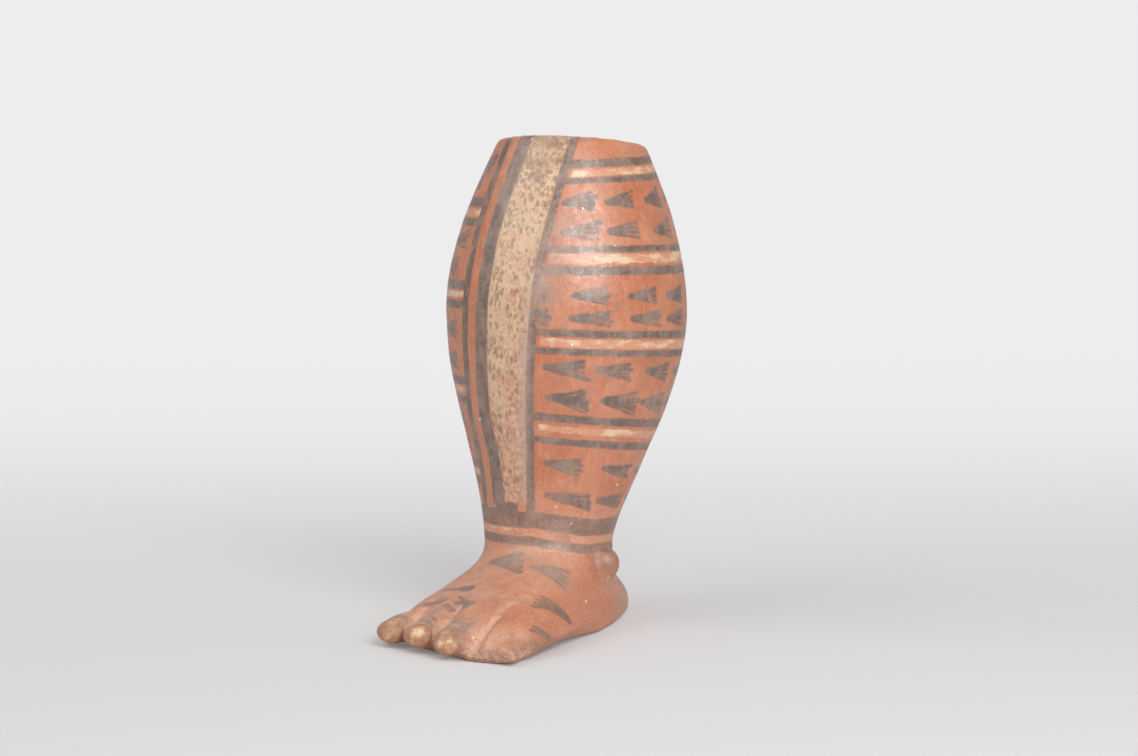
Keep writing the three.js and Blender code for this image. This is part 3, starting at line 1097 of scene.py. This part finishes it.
def paint(piece):
    """Lays the paint on a piece: how deep each point lies in each colour, in millimetres."""
    settings = bpy.context.scene.vessel_paint
    points = points_of(piece)
    normals = normals_of(piece)
    fans = Brushwork(len(points))
    dark, cream, strip, film = paint_leg(points, settings, fans)
    dark = np.maximum(dark, paint_foot(points, normals, settings, fans))
    outward = np.stack([points[:, 0], points[:, 1] - np.interp(points[:, 2], *AXIS)], axis=1)
    outward /= np.linalg.norm(outward, axis=1)[:, None] + LEAST_LENGTH
    inward = -(outward * normals[:, :2]).sum(axis=1)
    start, whole = INSIDE_FACING
    inside = clamped((inward - start) / (whole - start)) * (points[:, 2] > INSIDE_FLOOR)
    under = (normals[:, 2] < UNDER_FACING) & (points[:, 2] < UNDER_TOP)
    worn = share_in(points, WORN_STROKES, normals)
    layers = {
        "dark": np.maximum(dark, fans.depth),
        "along": fans.along * (fans.depth > -FAN_EDGE),
        "aside": fans.aside,
        # Thick slip, and painted shade on the foot's side, heel and knob.
        "deep": share_in(points, DEEP_AND_SHADED_STROKES),
        # Rubbed-thin slip, and a painted highlight on the big toe's front.
        "rubbed": share_in(points, RUBBED_AND_HIGHLIT_STROKES),
        "cream": cream,
        "strip": strip,
        "inside": inside,
        "worn": np.max([worn, LIP_BARE * near_lip(points, LIP_RUBBED), under], axis=0),
        "stain": share_in(points, STAIN_STROKES),
        # Greyish haze and painted sheen over slip and paint.
        "film": np.maximum(film, share_in(points, FILM_AND_SHEEN_STROKES)),
    }
    for name, values in layers.items():
        write_layer(piece, name, values)


class NodeBench:
    """Adds shader nodes to a material. A colour is a socket, the name of a paint or four numbers."""

    def __init__(self, name):
        self.material = bpy.data.materials.new(name)
        self.material.use_nodes = True
        self.tree = self.material.node_tree
        self.shader = self.tree.nodes["Principled BSDF"]
        self.place = self.put("ShaderNodeTexCoord", {}, "Object")

    def fill(self, node, values):
        """Sets or links sockets of a node."""
        for socket, value in values.items():
            if isinstance(value, bpy.types.NodeSocket):
                self.tree.links.new(value, node.inputs[socket])
            elif isinstance(value, str):
                node.inputs[socket].default_value = tuple(getattr(bpy.context.scene.vessel_paint, value))
            else:
                node.inputs[socket].default_value = value

    def put(self, kind, values, output=0, **settings):
        """A new node with these values in its sockets, and the output that is wanted of it."""
        node = self.tree.nodes.new(kind)
        for name, value in settings.items():
            setattr(node, name, value)
        self.fill(node, values)
        return node.outputs[output]

    def stretched(self, rise):
        """The place with its height scaled: a pattern grows tall below 1 and flat above it."""
        return self.put("ShaderNodeMapping", {"Vector": self.place, "Scale": (1, 1, rise)})

    def height(self):
        """How high the point lies, in metres."""
        return self.put("ShaderNodeSeparateXYZ", {"Vector": self.place}, "Z")

    def layer(self, name):
        """A value that the mesh carries."""
        return self.put("ShaderNodeAttribute", {}, "Fac", attribute_name=name)

    def noise(self, scale, detail=3.0, roughness=0.55, place=None):
        """A cloudy pattern with features of about one part in scale of a metre."""
        values = {"Vector": self.place if place is None else place, "Scale": scale, "Detail": detail,
                  "Roughness": roughness}
        return self.put("ShaderNodeTexNoise", values, "Fac")

    def cells(self, scale, output, place=None):
        """A pattern of uneven cells."""
        values = {"Vector": self.place if place is None else place, "Scale": scale}
        return self.put("ShaderNodeTexVoronoi", values, output)

    def sum(self, first, second):
        """One value and another."""
        return self.put("ShaderNodeMath", {0: first, 1: second}, operation="ADD")

    def product(self, first, second):
        """One value times another."""
        return self.put("ShaderNodeMath", {0: first, 1: second}, operation="MULTIPLY")

    def blend(self, first, share, second):
        """A share of one pattern, and the rest of another."""
        return self.sum(self.product(first, share), self.product(second, 1 - share))

    def graded(self, value, low, high, bottom=0.0, top=1.0):
        """A smooth rise from bottom to top as the value goes from low to high."""
        values = {"Value": value, "From Min": low, "From Max": high, "To Min": bottom, "To Max": top}
        return self.put("ShaderNodeMapRange", values, interpolation_type="SMOOTHSTEP")

    def mixed(self, share, first, second):
        """The first colour, with a share of the second over it."""
        return self.put("ShaderNodeMix", {0: share, 6: first, 7: second}, 2, data_type="RGBA")

    def tinted(self, look, colour, value, low, high, most=1.0):
        """A look with more of a colour over it, up to the most, as the value goes from low to high."""
        return self.mixed(self.graded(value, low, high, 0.0, most), look, colour)

    def marked(self, look, colour, where, value, low, high, bottom, top):
        """A look with a colour over it in some places, by a share that the value grades."""
        return self.mixed(self.product(where, self.graded(value, low, high, bottom, top)), look, colour)

    def relief(self, height, strength):
        """A normal that is tilted by fine relief."""
        values = {"Height": height, "Strength": strength, "Distance": BUMP_DEPTH}
        return self.put("ShaderNodeBump", values)


class ClayBench(NodeBench):
    """A bench with the patterns that the slip and the paints share."""

    def __init__(self, name):
        super().__init__(name)
        self.clouds = self.noise(38, 4)
        self.patches = self.noise(130, 5, 0.6)
        self.soil = self.noise(95, 6, 0.66)
        self.mottle = self.noise(420, 4)
        self.grain = self.noise(1100, 3)
        self.rubbing = self.noise(420, 4, place=self.stretched(0.14))
        self.scuffs = self.noise(150, 6, 0.68, self.stretched(0.6))
        self.on_leg = self.graded(self.height(), 0.045, 0.08)
        self.on_foot = self.graded(self.on_leg, 0.0, 1.0, 1.0, 0.0)
        self.wobble = self.sum(self.graded(self.patches, 0.25, 0.75, -0.45, 0.45),
                               self.graded(self.mottle, 0.25, 0.75, -0.25, 0.25))

    def inside_of(self, name):
        """Where a paint lies, with an uneven edge."""
        return self.graded(self.sum(self.layer(name), self.wobble), -PAINT_EDGE, PAINT_EDGE)


def red_slip(bench):
    """Red slip, thick and thin, rubbed in streaks on the leg, and flecked and stained on the foot, with
    painted shade on the foot's side and a painted highlight on the big toe's front.
    """
    look = bench.tinted("red", "red_deep", bench.clouds, 0.38, 0.64)
    look = bench.tinted(look, "red_pale", bench.patches, 0.48, 0.78, 0.55)
    look = bench.marked(look, "red_pale", bench.on_leg, bench.rubbing, 0.48, 0.78, 0.0, 0.45)
    look = bench.tinted(look, "red_deep", bench.mottle, 0.50, 0.80, 0.25)
    look = bench.tinted(look, "stain", bench.scuffs, 0.50, 0.70, 0.5)
    look = bench.marked(look, "red_pale", bench.on_foot, bench.patches, 0.30, 0.65, 0.35, 0.85)
    look = bench.marked(look, "stain", bench.on_foot, bench.soil, 0.50, 0.68, 0.0, 0.42)
    # Deep red where the slip lies thick, and as painted shade on the foot's side, heel and knob.
    look = bench.marked(look, "red_deep", bench.layer("deep"), bench.soil, 0.3, 0.7, 0.9, 0.5)
    # Bare clay where the slip has rubbed thin, and as a painted highlight on the big toe's front.
    look = bench.marked(look, "bare", bench.layer("rubbed"), bench.patches, 0.3, 0.7, 0.2, 0.75)
    look = bench.marked(look, "bare", bench.on_foot, bench.grain, 0.50, 0.70, 0.0, 0.5)
    look = bench.marked(look, "stain", bench.on_foot, bench.grain, 0.46, 0.34, 0.0, 0.5)
    smear = bench.sum(bench.layer("stain"), bench.graded(bench.soil, 0.3, 0.7, -0.4, 0.3))
    return bench.tinted(look, "stain", smear, 0.0, 1.0, 0.8)


def cream_wash(bench):
    """Cream paint, thick in patches along its bands, with the red showing through it elsewhere."""
    thick = bench.noise(85, 6, 0.62, bench.stretched(2.5))
    look = bench.tinted("orange", "cream", thick, 0.47, 0.60)
    return bench.tinted(look, "cream", bench.mottle, 0.56, 0.70, 0.6)


def speckled_strip(bench):
    """Buff paint that turns reddish down the shin, soiled at the top, with upright brown dabs."""
    height = bench.height()
    bloom = bench.sum(bench.noise(60, 5, 0.6), bench.graded(height, 0.17, 0.09, 0.0, 0.16))
    look = bench.tinted("buff", "blush", bloom, 0.48, 0.66, 0.9)
    look = bench.tinted(look, "cream", bench.mottle, 0.46, 0.74, 0.5)
    soiled = bench.sum(bench.noise(110, 4), bench.graded(height, 0.205, 0.247, -0.2, 0.2))
    look = bench.tinted(look, "dab", soiled, 0.45, 0.75, 0.58)
    sparse = bench.sum(bench.graded(height, 0.19, 0.235, 0.0, -0.08),
                       bench.graded(bench.noise(50, 3), 0.3, 0.7, -0.12, 0.12))
    sparse = bench.sum(sparse, bench.graded(bench.mottle, 0.3, 0.7, -0.13, 0.13))
    for scale, share in STRIP_DABS:
        dots = bench.sum(bench.cells(scale, "Distance", bench.stretched(0.45)), sparse)
        look = bench.tinted(look, "dab", dots, 0.48, 0.16, share)
    return look


def dry_bristles(bench):
    """Where the bristles left thin lines along a fan, more of them towards its wide end."""
    along = bench.layer("along")
    lines = bench.put("ShaderNodeCombineXYZ", {
        "X": bench.product(bench.layer("aside"), 3.6),
        "Y": bench.product(along, 0.8),
        "Z": bench.product(bench.height(), 45.0),
    })
    gaps = bench.graded(bench.noise(1.0, 2, place=lines), 0.50, 0.64)
    return bench.product(gaps, bench.graded(along, 0.20, 0.85))


def dark_paint(bench):
    """The tone of the dark paint, and how much of it has held."""
    thin = bench.blend(bench.soil, 0.75, bench.rubbing)
    tone = bench.tinted("dark", "dark_pale", thin, 0.40, 0.64)
    hold = bench.graded(bench.blend(bench.patches, 0.4, bench.scuffs), 0.42, 0.72, 0.98, 0.62)
    hold = bench.product(hold, bench.graded(bench.on_foot, 0.0, 1.0, 1.0, 0.82))
    hold = bench.product(hold, bench.graded(dry_bristles(bench), 0.0, 1.0, 1.0, 0.45))
    return tone, hold


def grit(bench):
    """Where pale specks of grit show: a few all over, and more round the ankle."""
    height = bench.height()
    ankle = bench.product(bench.graded(height, 0.050, 0.056),
                          bench.graded(height, 0.068, 0.062, 0.0, 0.35))
    more = bench.sum(ankle, bench.product(bench.layer("worn"), 0.2))
    picked = bench.graded(bench.sum(bench.cells(150, "Color"), more), 0.83, 0.85)
    return bench.product(bench.graded(bench.cells(150, "Distance"), 0.12, 0.07), picked)


def inner_clay(bench):
    """Clay of the inside, wiped round by hand and soiled."""
    wiped = bench.noise(55, 5, 0.6, bench.stretched(7))
    look = bench.tinted("inner", "red_pale", wiped, 0.40, 0.66, 0.8)
    return bench.tinted(look, "stain", bench.soil, 0.46, 0.66, 0.6)


def painted_clay():
    """Burnished red slip with dark and cream paint, rubbed, streaked and soiled."""
    bench = ClayBench("painted_clay")
    wash = bench.product(bench.inside_of("cream"), 0.85)
    look = bench.mixed(wash, red_slip(bench), cream_wash(bench))
    look = bench.mixed(bench.inside_of("strip"), look, speckled_strip(bench))
    tone, hold = dark_paint(bench)
    look = bench.mixed(bench.product(bench.inside_of("dark"), hold), look, tone)
    # Greyish haze and painted sheen over slip and paint.
    look = bench.marked(look, "film", bench.layer("film"), bench.scuffs, 0.3, 0.7, 0.15, 0.85)
    wear = bench.sum(bench.layer("worn"), bench.graded(bench.mottle, 0.3, 0.7, -0.5, 0.3))
    wear = bench.sum(wear, bench.graded(bench.grain, 0.35, 0.65, -0.3, 0.15))
    look = bench.tinted(look, "bare", wear, 0.0, 1.0, 0.85)
    look = bench.mixed(grit(bench), look, "speck")
    look = bench.mixed(bench.layer("inside"), look, inner_clay(bench))

    gloss = bench.graded(bench.blend(bench.patches, 0.5, bench.scuffs), 0.3, 0.7, 0.34, 0.50)
    dull = bench.sum(bench.product(wear, 0.25), bench.product(bench.on_foot, 0.10))
    scratches = bench.noise(1500, 2, place=bench.stretched(0.1))
    rough = bench.sum(bench.product(bench.grain, 0.4), bench.product(scratches, 0.3))
    rough = bench.sum(rough, bench.product(bench.mottle, 0.8))
    bench.fill(bench.shader, {
        "Base Color": look,
        "Roughness": bench.sum(gloss, dull),
        "IOR": 1.6,
        "Specular IOR Level": 0.8,
        "Normal": bench.relief(rough, 0.4),
    })
    return bench.material


def nail_slip():
    """Matt buff slip, rubbed pale in the middle, that turns as brown as the toe at its edges."""
    bench = NodeBench("nail_slip")
    flecks = bench.noise(620, 4, 0.65)
    blotches = bench.graded(bench.noise(170, 4), 0.3, 0.7, -0.25, 0.25)
    edge = bench.sum(bench.layer("edge"), blotches)
    look = bench.tinted("nail", "red_pale", flecks, 0.42, 0.62, 0.7)
    look = bench.tinted(look, "cream", edge, 0.72, 0.40, 0.85)
    look = bench.tinted(look, "stain", flecks, 0.50, 0.36, 0.5)
    look = bench.tinted(look, "stain", edge, 0.6, 1.0, 0.9)
    look = bench.tinted(look, "red", edge, 0.85, 1.1, 0.5)
    bench.fill(bench.shader, {
        "Base Color": look,
        "Roughness": bench.graded(bench.noise(900, 3), 0.3, 0.7, 0.45, 0.7),
        "Normal": bench.relief(flecks, 0.5),
    })
    return bench.material


# Stage

def paper(stage):
    """Plain pale paper, brighter to the eye where it rises behind the vessel."""
    bench = NodeBench("paper")
    tone = tuple(stage.floor)
    shade = tuple(FIBRE_SHADE * value for value in tone[:3]) + (1.0,)
    bench.fill(bench.shader, {
        "Base Color": bench.mixed(bench.noise(900, 2), tone, shade),
        "Roughness": 0.9,
        "Specular IOR Level": 0.1,
    })
    away = (-math.sin(stage.bearing), math.cos(stage.bearing), 0.0)
    depth = bench.put("ShaderNodeVectorMath", {0: bench.place, 1: away}, "Value",
                      operation="DOT_PRODUCT")
    seen = bench.put("ShaderNodeLightPath", {}, "Is Camera Ray")
    share = bench.product(seen, bench.graded(depth, -0.45, 1.0, 0.0, 0.92))
    glow = bench.put("ShaderNodeEmission", {"Color": tuple(stage.glow), "Strength": 1.0})
    surface = bench.put("ShaderNodeMixShader", {0: share, 1: bench.shader.outputs[0], 2: glow})
    bench.tree.links.new(surface, bench.tree.nodes["Material Output"].inputs["Surface"])
    return bench.material


def lamp(name, power, bearing, rise, away, size):
    """A square soft lamp that faces the middle of the vessel, from a bearing and a rise in degrees."""
    turn = math.radians(bearing)
    lift = math.radians(rise)
    toward = Vector((math.sin(turn) * math.cos(lift), -math.cos(turn) * math.cos(lift), math.sin(lift)))
    bpy.ops.object.light_add(type="AREA", location=(cad_low + cad_high) / 2 + away * toward)
    made = active()
    made.name = name
    made.data.energy = power
    made.data.size = size
    made.rotation_mode = "QUATERNION"
    made.rotation_quaternion = (-toward).to_track_quat("-Z", "Y")


class VESSEL_OT_set_stage(bpy.types.Operator):
    """Lay the paper and set the lamps and the camera"""
    bl_idname = "vessel.set_stage"
    bl_label = "Stage"

    def execute(self, context):
        stage = context.scene.vessel_stage
        bpy.ops.object.select_all(action="DESELECT")
        self.lay_paper(stage)
        lamp("key_lamp", stage.key_power, bearing=52, rise=31, away=1.6, size=1.0)
        lamp("fill_lamp", stage.fill_power, bearing=-42, rise=42, away=1.8, size=1.4)
        world = context.scene.world or bpy.data.worlds.new("even_light")
        context.scene.world = world
        world.use_nodes = True
        sky = world.node_tree.nodes["Background"]
        sky.inputs["Color"].default_value = (1, 1, 1, 1)
        sky.inputs["Strength"].default_value = stage.sky
        bpy.ops.object.camera_add(
            location=stage.eye, rotation=(math.pi / 2 - stage.dip, 0, stage.bearing))
        camera = active()
        camera.data.lens = stage.lens
        camera.data.dof.use_dof = False
        context.scene.camera = camera
        context.scene.view_settings.view_transform = "Standard"
        return {"FINISHED"}

    def lay_paper(self, stage):
        """A sheet on the floor that turns up behind the vessel, square to the camera."""
        bpy.ops.mesh.primitive_plane_add(size=1)
        sheet = active()
        sheet.name = "paper_sweep"
        depth = stage.floor_front + stage.floor_back
        with editing("SELECT"):
            bpy.ops.transform.resize(value=(stage.floor_width, depth, 1))
            bpy.ops.transform.translate(value=(0, (stage.floor_back - stage.floor_front) / 2, 0))
            bpy.ops.mesh.select_mode(type="EDGE")
            bpy.ops.mesh.select_all(action="DESELECT")
        self.pick_edges(sheet, stage.floor_back)
        with editing():
            bpy.ops.mesh.extrude_region_move(TRANSFORM_OT_translate={"value": (0, 0, stage.backdrop)})
            bpy.ops.mesh.select_all(action="DESELECT")
        self.pick_edges(sheet, stage.floor_back, 0)
        with editing():
            bpy.ops.mesh.bevel(offset=stage.sweep, segments=24, affect="EDGES")
        sheet.rotation_euler.z = stage.bearing
        bpy.ops.object.transform_apply(location=True, rotation=True, scale=True)
        bpy.ops.object.shade_smooth()
        sheet.data.materials.append(paper(stage))

    def pick_edges(self, sheet, back, height=None):
        """Selects the edge along the back of the sheet, at a height if one is given."""
        for edge in sheet.data.edges:
            ends = [sheet.data.vertices[i].co for i in edge.vertices]
            edge.select = all(
                abs(end.y - back) < MM and (height is None or abs(end.z - height) < MM) for end in ends)


class VESSEL_PT_panel(bpy.types.Panel):
    """Lists the steps that make the vessel, and the sizes and colours that they use"""
    bl_idname = "VESSEL_PT_panel"
    bl_label = "Painted leg vessel"
    bl_space_type = "VIEW_3D"
    bl_region_type = "UI"
    bl_category = "Vessel"

    def draw(self, context):
        for step in STEPS:
            self.layout.operator(step.bl_idname)
        for name in SETTINGS:
            group = getattr(context.scene, name)
            box = self.layout.box()
            for prop in group.bl_rna.properties:
                if prop.identifier not in {"rna_type", "name"}:
                    box.prop(group, prop.identifier)


STEPS = (
    VESSEL_OT_form_clay, VESSEL_OT_cut_sole, VESSEL_OT_cut_foot, VESSEL_OT_cut_leg,
    VESSEL_OT_cut_toes, VESSEL_OT_press_nails, VESSEL_OT_set_stage,
)
SETTINGS = {"vessel_clay": VesselClay, "vessel_paint": VesselPaint, "vessel_stage": VesselStage}


def register():
    """Adds the settings, the steps and the panel."""
    for name, group in SETTINGS.items():
        bpy.utils.register_class(group)
        setattr(bpy.types.Scene, name, PointerProperty(type=group))
    for item in (*STEPS, VESSEL_PT_panel):
        bpy.utils.register_class(item)


def unregister():
    """Takes the settings, the steps and the panel away again."""
    for item in (VESSEL_PT_panel, *reversed(STEPS)):
        bpy.utils.unregister_class(item)
    for name, group in SETTINGS.items():
        delattr(bpy.types.Scene, name)
        bpy.utils.unregister_class(group)


def main():
    """Makes every piece and the stage."""
    register()
    bpy.ops.vessel.form_clay()
    bpy.ops.vessel.cut_sole()
    bpy.ops.vessel.cut_foot()
    bpy.ops.vessel.cut_leg()
    bpy.ops.vessel.cut_toes()
    bpy.ops.vessel.press_nails()
    bpy.data.objects.remove(bpy.data.objects[BLANK])
    bpy.ops.vessel.set_stage()


if __name__ == "__main__":
    main()
